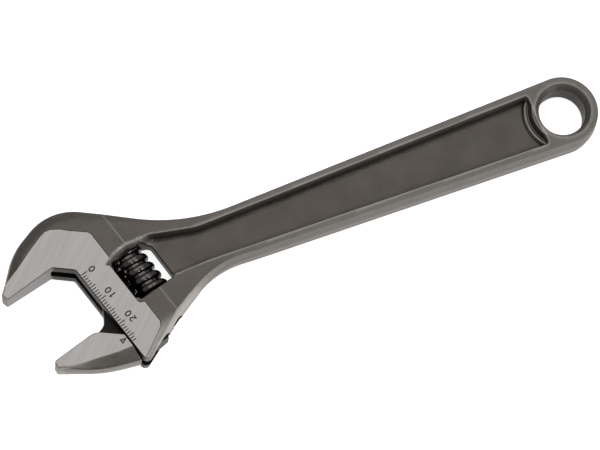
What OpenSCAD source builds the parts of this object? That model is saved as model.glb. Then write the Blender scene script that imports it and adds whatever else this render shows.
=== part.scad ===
// Adjustable wrench, 8 inch, forged in one piece with its fixed jaw.
// Lengths are in millimetres. The tool lies flat: +Z is the normal of the face with the scale,
// X runs along the handle from the jaws to the hanging hole, and Z = 0 is the back of the head.
// Head features are given in the jaw frame: w runs along the jaws towards the handle, and u runs
// the way the jaw opens. Both are 0 where the fixed jaw's gripping face ends at its root.

/* [Overall] */
// Overall length, from the fixed jaw's nose to the end of the handle
length = 206.6; // [202:0.2:212]
// Thickness of the head
head_t = 14; // [13:0.5:15]
// Thickness of the handle
handle_t = 12; // [11:0.5:12.5]
// Angle of the jaws to the handle
jaw_angle = 16; // [14:0.5:18]

/* [Handle] */
// Radius of the handle's round end
tail_r = 12.2; // [11.5:0.1:13]
// Radius of the hanging hole
hole_r = 7.8; // [7:0.1:8.2]
// Width of the flare round each mouth of the hanging hole
hole_flare = 1.6; // [0.5:0.1:2]
// Depth of the flare
hole_flare_depth = 2.5; // [1:0.1:3]
// Half width of the handle at its waist
waist_half = 8.9; // [8.5:0.1:9.5]
// Depth of the long pocket in each side of the handle
pocket_depth = 3.4; // [2:0.1:4]
// Width of the rails beside the pocket
rail_w = 2.7; // [2.2:0.1:3.2]

/* [Jaws] */
// Opening between the jaws as drawn
opening = 25; // [0.1:0.1:27]
// Length of each gripping face
face_len = 16.7; // [15:0.1:17.5]
// How far the back of the jaws rises at their tips
tip_rise = 4.4; // [0:0.1:5]
// Thickness of the movable jaw's neck
neck_t = 5.2; // [4.5:0.1:5.6]
// Radius of the rail that guides the movable jaw
guide_r = 4.6; // [4.4:0.05:4.7]
// Length of the guide rail
guide_len = 24.5; // [24:0.5:26]
// Clearance between the guide rail and its channel
guide_gap = 0.08; // [0.05:0.01:0.1]

/* [Worm] */
// Outer radius of the worm
worm_r = 5.7; // [5.5:0.05:5.8]
// Pitch of the worm's left-hand thread
pitch = 3.5; // [3.4:0.05:3.6]
// Depth of the thread
thread_depth = 1.4; // [1.2:0.05:1.4]
// Length of the worm
worm_len = 14.6; // [14:0.1:14.8]
// Radius of the worm's pin
pin_r = 1.5; // [1.2:0.05:1.6]
// Radius of the pin's screw head
pin_head_r = 2.25; // [2:0.05:2.5]
// Thickness of the spring's wire
wire_d = 0.6; // [0.5:0.05:0.7]

/* [Hidden] */
$fn = 96;
cut = 1;                                 // how far a cut runs past the face it opens
mid_z = head_t / 2;                      // middle of the head and of the handle
rim_z = mid_z + handle_t / 2;            // front of the handle's rails

// Where the hole's centre and the jaw frame's own zero lie. box_y centres the whole in Y.
box_y = 1.52;
hole_x = length / 2 - tail_r;
hole_y = box_y;
root_x = 17.13 - length / 2;
root_y = 9.1 + box_y;

// Head
throat_w = 6.4;                          // edge that the movable jaw's plate slides along
relief_u = 5.1;                          // where the fixed jaw's relief meets that edge
heel_u = 43.1;                           // lowest corner of the head
plateau_w = 24.5;                        // end of the head's flat part
slope_w = 46;                            // where the head has come down to the handle's thickness
window_w = [14.8, 31.4];                 // worm window, from side to side
window_u = [9.9, 25.4];                  // worm window, from end to end

// Guide rail and its channel
slot_t = neck_t + 0.2;
rack_gap = 0.15;                         // between a crest and the root that it runs over
worm_w = 23.3;
rack_w = worm_w - worm_r - rack_gap;     // bottom of the rack's gaps
guide_w = rack_w + thread_depth - guide_r;
guide_u = [opening - 9.5, opening - 9.5 + guide_len];
channel_r = guide_r + guide_gap;
channel_u = -10.2;                       // blind end of the channel

// Worm
worm_u = (window_u[0] + window_u[1] - worm_len) / 2;
core_r = worm_r - thread_depth;
crest_half = 0.45;
flank_run = 0.5;
first_gap = 0.1;                         // half a gap at the top of the rail, the first of the rack
gaps = 8;
lead = atan(pitch / (2 * PI * (worm_r - thread_depth / 2)));
pin_gap = 0.05;
bore_r = pin_r + 0.1;
pin_u = [6, 29, 35];                     // pin's end, head's inner face and head's slotted face
pocket_r = 2.9;                          // counterbore that holds the spring
spring_r = 2.25;
spring_turns = 6;
spring_u = [window_u[0] + 0.05, window_u[0] + 5.2];

function unit(v) = v / norm(v);
function along(w, u) = [
    root_x + w * cos(jaw_angle) + u * sin(jaw_angle),
    root_y + w * sin(jaw_angle) - u * cos(jaw_angle)
];
function on_jaw(w, u, r) = [each along(w, u), r];
function on_handle(x, y, r) = [hole_x + x, hole_y + y, r];

// A corner [x, y, radius] between its neighbours, rounded by an arc that touches both sides
function corner_arc(before, at, after) =
    let (
        p = [at[0], at[1]],
        a = unit([before[0], before[1]] - p),
        b = unit([after[0], after[1]] - p),
        half = acos(a * b) / 2,
        centre = p + unit(a + b) * at[2] / sin(half),
        start = p + a * at[2] / tan(half) - centre,
        end = p + b * at[2] / tan(half) - centre,
        from = atan2(start[1], start[0]),
        turn = atan2(start[0] * end[1] - start[1] * end[0], start * end),
        steps = max(2, ceil(abs(turn) / 6))
    )
    [for (i = [0:steps]) centre + at[2] * [cos(from + turn * i / steps), sin(from + turn * i / steps)]];

function rounded(points) =
    let (n = len(points))
    [for (i = [0:n - 1]) each corner_arc(points[(i + n - 1) % n], points[i], points[(i + 1) % n])];

// Half width of the handle, x from the hole's centre
function half_width(x) = tail_r + (tail_r - waist_half) * x / 118;

body_outline = [
    on_jaw(-face_len, 0, 0.5),
    on_jaw(throat_w - 5.5, 0, 1),
    on_jaw(throat_w, relief_u, 1.2),
    on_jaw(throat_w, heel_u, 1.8),
    on_handle(-141.6, -18.4, 3),
    on_handle(-126.4, -half_width(-126.4), 30),
    on_handle(tail_r, -half_width(tail_r), tail_r - 0.05),
    on_handle(tail_r, half_width(tail_r), tail_r - 0.05),
    on_handle(-130.8, half_width(-130.8), 62),
    on_handle(-170.2, 29.2, 15.5),
    on_handle(-186.2, 19.3, 12),
    on_jaw(-face_len - 0.7, -2.5, 1.5)
];

pocket_outline = [
    on_handle(-6, half_width(-6) - rail_w - 0.2, 0.5),
    on_handle(-128, half_width(-128) - rail_w, 25),
    on_handle(-143.8, 9.2, 4),
    on_jaw(24.5, 9.2, 3),
    on_jaw(window_w[0], 9.4, 0.6),
    on_jaw(window_w[0], 25.9, 0.8),
    on_jaw(18, 26.5, 2),
    on_handle(-128, rail_w - half_width(-128), 25),
    on_handle(-6, rail_w + 0.2 - half_width(-6), 0.5)
];

jaw_outline = [
    on_jaw(-face_len - 0.5, opening, 1),
    on_jaw(-2, opening, 4),
    on_jaw(0.4, opening + 1.1, 2),
    on_jaw(throat_w - 0.3, opening + 6.3, 0.5),
    on_jaw(throat_w - 0.3, opening + 16.1, 0.5),
    on_jaw(-6, opening + 11.2, 40),
    on_jaw(-face_len - 0.6, opening + 2.6, 0.8)
];

// Shapes laid out in the jaw frame: x is w, and the jaw opens along -y
module in_jaw_frame() {
    translate([root_x, root_y, 0]) rotate(jaw_angle) children();
}

// A shape that stands along its own Z, laid along u from the point (w, u) in the middle of the head
module laid(w, u) {
    in_jaw_frame() translate([w, -u, mid_z]) rotate([90, 0, 0]) children();
}

// Side view of the whole tool, carried across it: flat head, thinner handle, jaws tapered at the back
module side_view() {
    reach = 60;
    in_jaw_frame() translate([0, reach, 0]) rotate([90, 0, 0]) linear_extrude(3 * reach)
        polygon([
            [-20, head_t], [plateau_w, head_t], [slope_w, rim_z], [260, rim_z],
            [260, head_t - rim_z], [slope_w, head_t - rim_z], [plateau_w, 0],
            [2, 0], [-20, tip_rise * 22 / (face_len + 2)]
        ]);
}

module body_blank() {
    intersection() {
        linear_extrude(head_t) polygon(rounded(body_outline));
        side_view();
    }
}

module handle_pocket(z) {
    difference() {
        translate([0, 0, z]) linear_extrude(pocket_depth + cut) polygon(rounded(pocket_outline));
        translate([hole_x, hole_y, z - cut]) cylinder(r = tail_r - 1, h = pocket_depth + 3 * cut);
    }
}

module hanging_hole() {
    flare = [hole_flare * (1 + cut / hole_flare_depth), hole_flare_depth + cut];
    translate([hole_x, hole_y, 0]) {
        cylinder(r = hole_r, h = head_t);
        translate([0, 0, rim_z - hole_flare_depth])
            cylinder(r1 = hole_r, r2 = hole_r + flare[0], h = flare[1]);
        translate([0, 0, head_t - rim_z - cut])
            cylinder(r1 = hole_r + flare[0], r2 = hole_r, h = flare[1]);
    }
}

module worm_window() {
    in_jaw_frame() translate([window_w[0], -window_u[1], -cut])
        cube([window_w[1] - window_w[0], window_u[1] - window_u[0], head_t + 2 * cut]);
}

// Round channel for the guide rail, and the slot that lets the neck out of it
module jaw_channel() {
    laid(guide_w, channel_u) cylinder(r = channel_r, h = 60);
    translate([0, 0, mid_z - slot_t / 2]) linear_extrude(slot_t)
        polygon([
            along(throat_w - 5.9, 2), along(throat_w - 5.9, -1.3), along(5, -6.6),
            along(8.5, channel_u), along(guide_w, channel_u), along(guide_w, 55), along(0, 55)
        ]);
}

// Pin's bore: a tapped mouth for the screw head, and a plain bore on both sides of the window
module pin_bore() {
    laid(worm_w, pin_u[0] - 0.2) cylinder(r = pin_r + pin_gap, h = pin_u[1] - pin_u[0] + cut);
    laid(worm_w, pin_u[1] - 0.1) cylinder(r = pin_head_r + pin_gap, h = 12);
}

module body() {
    color("dimgray") difference() {
        body_blank();
        handle_pocket(rim_z - pocket_depth);
        handle_pocket(head_t - rim_z - cut);
        hanging_hole();
        worm_window();
        jaw_channel();
        pin_bore();
    }
}

// One gap of the rack: a groove across the rail, tilted by the worm's lead
module rack_gap_at(u) {
    bottom = crest_half + 0.15;
    top = crest_half + flank_run + 0.15;
    reach = thread_depth + cut;
    run = (top - bottom) * reach / thread_depth;
    in_jaw_frame() translate([rack_w, -u, mid_z]) rotate([lead, 0, 0])
        translate([0, 0, -guide_r]) linear_extrude(2 * guide_r)
            polygon([[0, bottom], [reach, bottom + run], [reach, -bottom - run], [0, -bottom]]);
}

module guide_rail() {
    difference() {
        laid(guide_w, guide_u[0]) cylinder(r = guide_r, h = guide_len);
        for (i = [0:gaps - 1]) rack_gap_at(guide_u[0] + first_gap + i * pitch);
    }
}

module jaw_neck() {
    translate([0, 0, mid_z - neck_t / 2]) linear_extrude(neck_t)
        polygon([
            along(0.8, opening), along(2.2, opening - 0.3), along(3.6, opening - 1),
            along(4.9, opening - 2.6), along(6.4, opening - 5.3), along(8, opening - 7.6),
            along(10.5, opening - 9.2), along(guide_w, opening - 9.2),
            along(guide_w, opening + 14.5), along(0.8, opening + 13.5)
        ]);
}

module movable_jaw() {
    color("darkgray") union() {
        intersection() {
            linear_extrude(head_t) polygon(rounded(jaw_outline));
            side_view();
        }
        jaw_neck();
        guide_rail();
    }
}

// Left-hand thread, as a ridge that winds down from z = 0 past the ends of the worm
module worm_thread() {
    steps_per_turn = 24;
    turns = ceil(worm_len / pitch) + 1.5;
    n = ceil(turns * steps_per_turn);
    section = [
        [core_r - 0.2, crest_half + flank_run * 1.1], [worm_r, crest_half],
        [worm_r, -crest_half], [core_r - 0.2, -crest_half - flank_run * 1.1]
    ];
    points = [for (i = [0:n], s = section)
        let (angle = -360 * i / steps_per_turn)
        [s[0] * cos(angle), s[0] * sin(angle), s[1] + pitch * i / steps_per_turn]];
    sides = [for (i = [0:n - 1], k = [0:3])
        let (a = 4 * i + k, b = 4 * i + (k + 1) % 4)
        each [[a, b, b + 4], [a, b + 4, a + 4]]];
    ends = [[0, 3, 2], [0, 2, 1], [4 * n, 4 * n + 1, 4 * n + 2], [4 * n, 4 * n + 2, 4 * n + 3]];
    polyhedron(points, concat(sides, ends), convexity = 8);
}

// The thread faces the rack where its angle is 180 degrees, and there it lies in a gap of the rack
module adjusting_worm() {
    gap_u = guide_u[0] + first_gap;
    start = worm_u - 0.75 * pitch;
    color("#1c1a1b") difference() {
        union() {
            laid(worm_w, worm_u) cylinder(r = core_r, h = worm_len);
            intersection() {
                laid(worm_w, start) rotate(180 + 360 * (gap_u - start) / pitch) worm_thread();
                laid(worm_w, worm_u) cylinder(r = worm_r + 1, h = worm_len);
            }
        }
        laid(worm_w, worm_u - cut) cylinder(r = bore_r, h = worm_len + 2 * cut);
        laid(worm_w, worm_u - cut) cylinder(r = pocket_r, h = cut + 5);
    }
}

module worm_pin() {
    color("#8c8a88") difference() {
        union() {
            laid(worm_w, pin_u[0]) cylinder(r = pin_r, h = pin_u[1] - pin_u[0]);
            laid(worm_w, pin_u[1]) cylinder(r = pin_head_r, h = pin_u[2] - pin_u[1]);
        }
        laid(worm_w, pin_u[2] - 1.2) translate([-0.4, -4, 0]) cube([0.8, 8, 3]);
    }
}

// Open coil: a six-sided wire carried along a helix
module worm_spring() {
    per_turn = 18;
    sides = 6;
    n = spring_turns * per_turn;
    rise = (spring_u[1] - spring_u[0] - wire_d) / n;
    points = [for (i = [0:n], k = [0:sides - 1])
        let (
            a = 360 * i / per_turn,
            b = 360 * k / sides,
            r = spring_r + wire_d / 2 * cos(b)
        )
        [r * cos(a), r * sin(a), wire_d / 2 + rise * i + wire_d / 2 * sin(b)]];
    walls = [for (i = [0:n - 1], k = [0:sides - 1])
        let (a = sides * i + k, b = sides * i + (k + 1) % sides)
        each [[a, b + sides, b], [a, a + sides, b + sides]]];
    cap_a = [for (k = [1:sides - 2]) [0, k, k + 1]];
    cap_b = [for (k = [1:sides - 2]) [sides * n, sides * n + k + 1, sides * n + k]];
    color("silver") laid(worm_w, spring_u[0]) polyhedron(points, concat(walls, cap_a, cap_b), convexity = 8);
}

body();
movable_jaw();
adjusting_worm();
worm_pin();
worm_spring();
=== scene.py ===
import math

import bpy
import numpy as np
from mathutils import Matrix, Vector
from mathutils.geometry import delaunay_2d_cdt


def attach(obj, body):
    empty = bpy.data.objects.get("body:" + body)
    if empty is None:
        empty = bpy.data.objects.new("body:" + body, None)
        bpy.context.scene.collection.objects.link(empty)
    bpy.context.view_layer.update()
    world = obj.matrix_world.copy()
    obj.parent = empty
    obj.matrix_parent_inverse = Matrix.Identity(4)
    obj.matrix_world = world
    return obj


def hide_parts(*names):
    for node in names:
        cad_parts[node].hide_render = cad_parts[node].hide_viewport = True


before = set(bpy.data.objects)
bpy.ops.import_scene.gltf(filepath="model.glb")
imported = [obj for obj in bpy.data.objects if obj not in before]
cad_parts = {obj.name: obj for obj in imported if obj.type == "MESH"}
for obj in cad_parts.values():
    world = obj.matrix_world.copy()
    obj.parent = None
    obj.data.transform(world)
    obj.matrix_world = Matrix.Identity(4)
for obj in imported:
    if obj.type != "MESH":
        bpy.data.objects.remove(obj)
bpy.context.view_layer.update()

# Adjustable wrench. Lengths in this script are millimetres until a mesh is made, and MM turns them
# to metres. The head has its own frame: w runs along the jaws towards the handle, u the way the jaw
# opens, both 0 at the root of the fixed jaw's gripping face. The handle's points are given from the
# middle of its hanging hole.
MM = 0.001
JAW_ANGLE = math.radians(16)
ROOT = np.array([-86.17, 10.62])
HOLE = np.array([91.1, 1.52])
ALONG = np.array([math.cos(JAW_ANGLE), math.sin(JAW_ANGLE)])
OPENING = np.array([math.sin(JAW_ANGLE), -math.cos(JAW_ANGLE)])

# Head: thickness, where the backs of the jaws thin, heights of the handle, the ground pad and the
# deck, depth of the marks, and the crease across it.
HEAD_T = 14.0
MID_Z = HEAD_T / 2
TIP_W = -16.7
THINNING_START_W = 2.0
TIP_THINNING = 4.4
RAIL_Z = 13.0
PAD_Z = 13.9
MARK_DEPTH = 0.16
CREASE_W = 24.5
CREASE = 0.05
DECK_Z = HEAD_T - CREASE - 0.01
SLOPE_END_W = 46.0
WINDOW_EDGE = 0.3

# Handle: half width at the hole and at the waist, the hanging hole with its flare, and the boss and
# pocket beside it.
TAIL_R = 12.2
WAIST_HALF = 8.9
WAIST_X = 118
HOLE_R = 7.8
HOLE_EDGE = 0.02
FLARE_R = 9.3
FLARE_DEPTH = 2.5
BOSS_R = 10.5
LIP_R = 12.6
POCKET_DEPTH = 3.4
POCKET_WALL = 0.95

# Movable jaw: how far it is open, its rail and neck, and the channel and slot they slide in.
JAW_OPENING = 25.0
JAW_FALL = 3.9
RAIL_W = 14.25
RAIL_R = 4.6
RAIL_PLAY = 0.08
NECK_HALF = 2.6
SLOT_HALF = 2.7
CHANNEL_TOP_U = -10.2
CHANNEL_END_U = 55

# Worm: axis, thread and pin, the rack that it turns in, and the lip behind its upper end.
WORM_W = 23.3
WORM_R = 5.7
WORM_U = 10.35
WORM_LEN = 14.6
PITCH = 3.5
THREAD_DEPTH = 1.4
RACK_W = WORM_W - WORM_R - 0.15
FIRST_GAP_U = 19.1
PIN_BORE_R = 1.55
PIN_MOUTH_R = 2.3
BACK_LIP_BOTTOM_Z = 0.3
BACK_LIP_TOP_Z = 1.95


# ---- frames and outlines ------------------------------------------------------------------------

def jaw(w, u):
    """Object-frame x, y of a point of the head: the root plus w along the jaws plus u along the opening."""
    return ROOT + np.multiply.outer(w, ALONG) + np.multiply.outer(u, OPENING)


def in_jaw(points):
    """w and u of points x, y: their offsets from the root, projected on the two directions."""
    d = points - ROOT
    return d @ ALONG, d @ OPENING


def on_jaw(w, u, r=0.0):
    return (*jaw(w, u), r)


def on_handle(x, y, r=0.0):
    return (HOLE[0] + x, HOLE[1] + y, r)


def half_width(x):
    """The handle's half width narrows in proportion to the distance from the hole, 12.2 at the hole
    and 8.9 at 118 mm."""
    return TAIL_R + (TAIL_R - WAIST_HALF) * x / WAIST_X


def rounded(corners, step):
    """Closed outline: each corner is replaced by the arc of its radius that touches both sides, and
    the straight runs between arcs are cut into equal parts no longer than step."""
    c = np.array(corners, float)
    out = []
    for before, at, after in zip(np.roll(c, 1, 0), c, np.roll(c, -1, 0)):
        a, b = before[:2] - at[:2], after[:2] - at[:2]
        a, b = a / np.linalg.norm(a), b / np.linalg.norm(b)
        half = math.acos(np.clip(a @ b, -1, 1)) / 2
        centre = at[:2] + (a + b) / np.linalg.norm(a + b) * at[2] / math.sin(half)
        start = at[:2] + a * at[2] / math.tan(half) - centre
        end = at[:2] + b * at[2] / math.tan(half) - centre
        turn = math.atan2(start[0] * end[1] - start[1] * end[0], start @ end)
        n = max(2, math.ceil(abs(turn) / math.radians(12)), math.ceil(abs(turn) * at[2] / step))
        t = math.atan2(start[1], start[0]) + turn * np.linspace(0, 1, n + 1)
        out.append(centre + at[2] * np.stack([np.cos(t), np.sin(t)], 1))
    loop = []
    for arc, following in zip(out, out[1:] + out[:1]):
        gap = following[0] - arc[-1]
        n = max(1, math.ceil(np.linalg.norm(gap) / step))
        loop += [arc, arc[-1] + gap * np.linspace(0, 1, n + 1)[1:-1, None]]
    loop = np.concatenate(loop)
    keep = np.linalg.norm(loop - np.roll(loop, 1, 0), axis=1) > 1e-4
    return loop[keep]


def dense(points, step):
    """Open line through the points, cut into parts no longer than step."""
    p = np.array(points, float)
    runs = [a + (b - a) * np.linspace(0, 1, max(2, math.ceil(np.linalg.norm(b - a) / step) + 1))[:-1, None]
            for a, b in zip(p[:-1], p[1:])]
    return np.concatenate(runs + [p[-1:]])


def normals(loop):
    """Unit normals of a closed loop, to the right of its direction of travel."""
    t = np.roll(loop, -1, 0) - np.roll(loop, 1, 0)
    t /= np.linalg.norm(t, axis=1)[:, None]
    return np.stack([t[:, 1], -t[:, 0]], 1)


def area(loop):
    x, y = loop.T
    return 0.5 * np.sum(x * np.roll(y, -1) - y * np.roll(x, -1))


def anticlockwise(loop):
    return loop if area(loop) > 0 else loop[::-1]


def nearest(points, line, closed=True):
    """Distance from each point to a line of segments, and where its nearest point lies, as the
    segment's number plus the share of it."""
    a = line if closed else line[:-1]
    b = np.roll(line, -1, 0) if closed else line[1:]
    ab = b - a
    far = np.full(len(points), 1e9)
    where = np.zeros(len(points))
    for i in range(0, len(points), 2000):
        p = points[i:i + 2000, None] - a[None]
        t = np.clip((p * ab).sum(2) / np.maximum((ab * ab).sum(1), 1e-12), 0, 1)
        d = np.linalg.norm(p - ab * t[..., None], axis=2)
        k = d.argmin(1)
        r = np.arange(len(k))
        far[i:i + 2000], where[i:i + 2000] = d[r, k], k + t[r, k]
    return far, where


def inside(points, loop):
    """True where a ray from the point crosses the loop an odd number of times."""
    a, b = loop, np.roll(loop, -1, 0)
    out = np.zeros(len(points), bool)
    for i in range(0, len(points), 4000):
        p = points[i:i + 4000, None]
        between = (a[:, 1] > p[..., 1]) != (b[:, 1] > p[..., 1])
        with np.errstate(divide="ignore", invalid="ignore"):
            x = a[:, 0] + (p[..., 1] - a[:, 1]) * (b[:, 0] - a[:, 0]) / (b[:, 1] - a[:, 1])
        out[i:i + 4000] = (between & (p[..., 0] < x)).sum(1) % 2 == 1
    return out


def depth_in(points, loop):
    """Signed distance to a loop, positive inside it."""
    d = nearest(points, loop)[0]
    return np.where(inside(points, loop), d, -d)


def soft(t):
    """Smooth step: 0 below 0, 1 above 1, and 3t^2 - 2t^3 between."""
    t = np.clip(t, 0, 1)
    return t * t * (3 - 2 * t)


def spread(loop, values, per_corner):
    """Values given at a few places on a loop, carried round it in proportion to its length."""
    run = np.concatenate([[0], np.cumsum(np.linalg.norm(np.roll(loop, -1, 0) - loop, axis=1))])
    at = nearest(np.array(per_corner), loop)[1]
    s = np.interp(at, np.arange(len(run)), run)
    order = s.argsort()
    s, v = s[order], np.array(values, float)[order]
    total = run[-1]
    return np.interp(run[:-1], np.concatenate([[s[-1] - total], s, [s[0] + total]]),
                     np.concatenate([[v[-1]], v, [v[0]]]))


# ---- meshes -------------------------------------------------------------------------------------

def mesh_object(name, verts, faces, body, materials, face_material=None, sharp=None, rub_and_highlight=None):
    """An object of the vertices, in millimetres, and faces, made metres, riding on a body."""
    mesh = bpy.data.meshes.new(name)
    mesh.from_pydata((np.asarray(verts, float) * MM).tolist(), [], [list(map(int, f)) for f in faces])
    for m in materials:
        mesh.materials.append(m)
    if face_material is not None:
        mesh.polygons.foreach_set("material_index", np.asarray(face_material, np.int32))
    mesh.polygons.foreach_set("use_smooth", np.ones(len(mesh.polygons), bool))
    if rub_and_highlight is not None:
        layer = mesh.attributes.new("rub_and_highlight", "FLOAT", "POINT")
        layer.data.foreach_set("value", np.asarray(rub_and_highlight, np.float32))
    mesh.validate()
    mesh.update()
    if sharp is not None:
        mesh.set_sharp_from_angle(angle=math.radians(sharp))
    piece = bpy.data.objects.new(name, mesh)
    bpy.context.scene.collection.objects.link(piece)
    if body:
        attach(piece, body)
    return piece


def lattice(box, step):
    """Points of a triangular lattice over a box."""
    (x0, y0), (x1, y1) = box
    rows = np.arange(y0, y1, step * math.sqrt(0.75))
    cols = np.arange(x0, x1, step)
    x, y = np.meshgrid(cols, rows)
    x = x + (np.arange(len(rows)) % 2)[:, None] * step / 2
    return np.stack([x.ravel(), y.ravel()], 1)


def sheet_of(rims, lines, fields):
    """Flat triangulation inside the first rim and outside the others. Lines are kept as edges, and
    each field (mask function, step) adds a lattice where its mask is true. Returns the points, the
    triangles and, for each rim, the numbers of its points."""
    solid = [(r, True) for r in rims] + [(l, c) for l, c in lines]
    pts, edges, at = [], [], 0
    for line, closed in solid:
        n = len(line)
        pts.append(line)
        last = n if closed else n - 1
        edges += [(at + i, at + (i + 1) % n) for i in range(last)]
        at += n
    for mask, step in fields:
        box = rims[0].min(0), rims[0].max(0)
        p = lattice(box, step)
        p = p[mask(p)]
        p = p[inside(p, rims[0])]
        for r in rims[1:]:
            p = p[~inside(p, r)]
        close = np.full(len(p), 1e9)
        for line, closed in solid:
            close = np.minimum(close, nearest(p, line, closed)[0])
        pts.append(p[close > 0.45 * step])
    pts = np.concatenate(pts)
    got = delaunay_2d_cdt([Vector(p) for p in pts.tolist()], edges, [], 0, 1e-6)
    flat = np.array([tuple(v) for v in got[0]])
    tris = np.array(got[2])
    first = {}
    for new, olds in enumerate(got[3]):
        for old in olds:
            first[old] = new
    mid = flat[tris].mean(1)
    keep = inside(mid, rims[0])
    for r in rims[1:]:
        keep &= ~inside(mid, r)
    tris = tris[keep]
    v = flat[tris]
    turn = np.cross(v[:, 1] - v[:, 0], v[:, 2] - v[:, 0])
    tris = tris[np.abs(turn) > 1e-9]
    turn = turn[np.abs(turn) > 1e-9]
    tris[turn < 0] = tris[turn < 0][:, ::-1]
    numbers, start = [], 0
    for r in rims:
        numbers.append(np.array([first[start + i] for i in range(len(r))]))
        start += len(r)
    return flat, tris, numbers


def edge_wall(loop, outward, top, bottom, inset, fall, draft, arc_rows=5, side_rows=3):
    """Wall between the front and back sheets: a profile carried along the loop, set in from it against
    the outward normals. From the front edge it rounds over as a quarter ellipse, inset wide and fall
    high, then leans out by draft down to the parting line halfway to the back, and the back half
    mirrors it. Returns rows of points between the two edges."""
    middle = (top + bottom) / 2
    room = (top - bottom) / 2
    fall = np.minimum(fall, room * 0.9)
    angle = np.linspace(90, 0, arc_rows + 1)[1:]
    rows = []
    for a in np.radians(angle):
        rows.append((draft + (inset - draft) * (1 - math.cos(a)), room - fall * (1 - math.sin(a))))
    for t in np.linspace(0, 1, side_rows + 1)[1:]:
        rows.append((draft * (1 - t) ** 1.3, (room - fall) * (1 - t)))
    front = [(i, middle + h) for i, h in rows]
    back = [(i, middle - h) for i, h in rows[-2::-1]]
    return [np.column_stack([loop - outward * np.asarray(i)[:, None], z]) for i, z in front + back]


def slab(flat, tris, front, back, numbers, walls):
    """Closed solid: the front sheet, the back sheet with its faces turned over, and the walls, each a
    list of rows of points between a rim's front and back points. Walls are stitched row by row."""
    n = len(flat)
    verts = [np.column_stack([flat, front]), np.column_stack([flat, back])]
    faces = [tris, tris[:, ::-1] + n]
    groups = [np.zeros(len(tris), int), np.ones(len(tris), int)]
    at = 2 * n
    for k, (ring, rows) in enumerate(zip(numbers, walls)):
        m = len(ring)
        ids = [ring] + [at + m * i + np.arange(m) for i in range(len(rows))] + [ring + n]
        verts += rows
        at += m * len(rows)
        for a, b in zip(ids[:-1], ids[1:]):
            quad = np.stack([a, b, np.roll(b, -1), np.roll(a, -1)], 1)
            if k:
                quad = quad[:, ::-1]
            faces += [quad[:, [0, 1, 2]], quad[:, [0, 2, 3]]]
            groups += [np.full(2 * m, 2 + k)]
    return np.concatenate(verts), np.concatenate(faces), np.concatenate(groups)


def grid_faces(rows, cols, wrap=False, wrap_rows=False):
    """Quads of a grid of rows by cols points, closed round the columns, and round the rows, if asked."""
    i = np.arange(rows if wrap_rows else rows - 1)[:, None]
    j = np.arange(cols if wrap else cols - 1)[None]
    a = i * cols + j
    b = i * cols + (j + 1) % cols
    c = (i + 1) % rows * cols + (j + 1) % cols
    d = (i + 1) % rows * cols + j
    return np.stack([a, b, c, d], -1).reshape(-1, 4)


def tube_faces(rows, cols):
    """Quads round a tube of rows rings of cols points, and each end as one face."""
    ends = [list(range(cols)), list(range((rows - 1) * cols, rows * cols))[::-1]]
    return grid_faces(rows, cols, wrap=True).tolist() + ends


def laid(points, w, u):
    """Points of a shape that stands on its own z, laid so that z runs along u from (w, u) at mid height:
    its x becomes w and its y becomes z."""
    p = np.asarray(points, float)
    xy = jaw(w + p[:, 0], u + p[:, 2])
    return np.column_stack([xy, MID_Z + p[:, 1]])


def flipped(faces):
    return np.asarray(faces)[:, ::-1]


def prism(loop, z0, z1):
    """Closed prism on a flat outline, with both ends filled."""
    n = len(loop)
    loop = anticlockwise(loop)
    verts = np.concatenate([np.column_stack([loop, np.full(n, z)]) for z in (z0, z1)])
    i = np.arange(n)
    walls = np.stack([i, (i + 1) % n, n + (i + 1) % n, n + i], 1)
    return verts, [list(range(n))[::-1], list(range(n, 2 * n)), *walls.tolist()]


def stroke(path, width, closed=False):
    """Outline of a pen stroke: the path offset by half the width to each side. A closed path gives
    two loops, an open one gives one with square ends."""
    p = np.array(path, float)
    if closed:
        n = normals(p)
    else:
        t = np.gradient(p, axis=0)
        t /= np.linalg.norm(t, axis=1)[:, None]
        n = np.stack([t[:, 1], -t[:, 0]], 1)
    return p + n * width / 2, p - n * width / 2


def joined(parts):
    """Several (vertices, faces) put into one."""
    verts, faces, at = [], [], 0
    for v, f in parts:
        verts.append(np.asarray(v, float))
        faces += [[int(i) + at for i in face] for face in f]
        at += len(v)
    return np.concatenate(verts), faces


def bevelled(piece, width):
    """A bevel of that width on every sharp edge."""
    bevel = piece.modifiers.new("edge", "BEVEL")
    bevel.width, bevel.segments, bevel.limit_method = width * MM, 2, "ANGLE"
    return piece


def carve(piece, cutters):
    """Takes the cutters' shapes out of the piece. Each is (name, vertices, faces, material)."""
    for name, verts, faces, material in cutters:
        tool = mesh_object(name, verts, faces, None, [material])
        m = piece.modifiers.new(name, "BOOLEAN")
        m.operation, m.solver, m.object = "DIFFERENCE", "EXACT", tool
        m.material_mode = "TRANSFER"
        deps = bpy.context.evaluated_depsgraph_get()
        cut = bpy.data.meshes.new_from_object(piece.evaluated_get(deps))
        piece.modifiers.clear()
        old = piece.data
        piece.data = cut
        bpy.data.meshes.remove(old)
        bpy.data.objects.remove(tool)


# ---- materials ----------------------------------------------------------------------------------

def srgb(text):
    """Hex colour to linear: ((c + 0.055) / 1.055) ^ 2.4 above the toe, c / 12.92 in it."""
    c = np.array([int(text[i:i + 2], 16) for i in (1, 3, 5)]) / 255
    return (*np.where(c > 0.04045, ((c + 0.055) / 1.055) ** 2.4, c / 12.92).tolist(), 1.0)


def add(tree, kind, inputs, **settings):
    """Adds a node. An input that is a socket is linked, and any other value is set."""
    n = tree.nodes.new("ShaderNode" + kind)
    for key, value in settings.items():
        setattr(n, key, value)
    for key, value in inputs.items():
        if isinstance(value, bpy.types.NodeSocket):
            tree.links.new(value, n.inputs[key])
        else:
            n.inputs[key].default_value = value
    return n


def per(size_mm):
    """Texture scale that makes one cell size_mm wide, because coordinates are in metres."""
    return 1000 / size_mm


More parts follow.
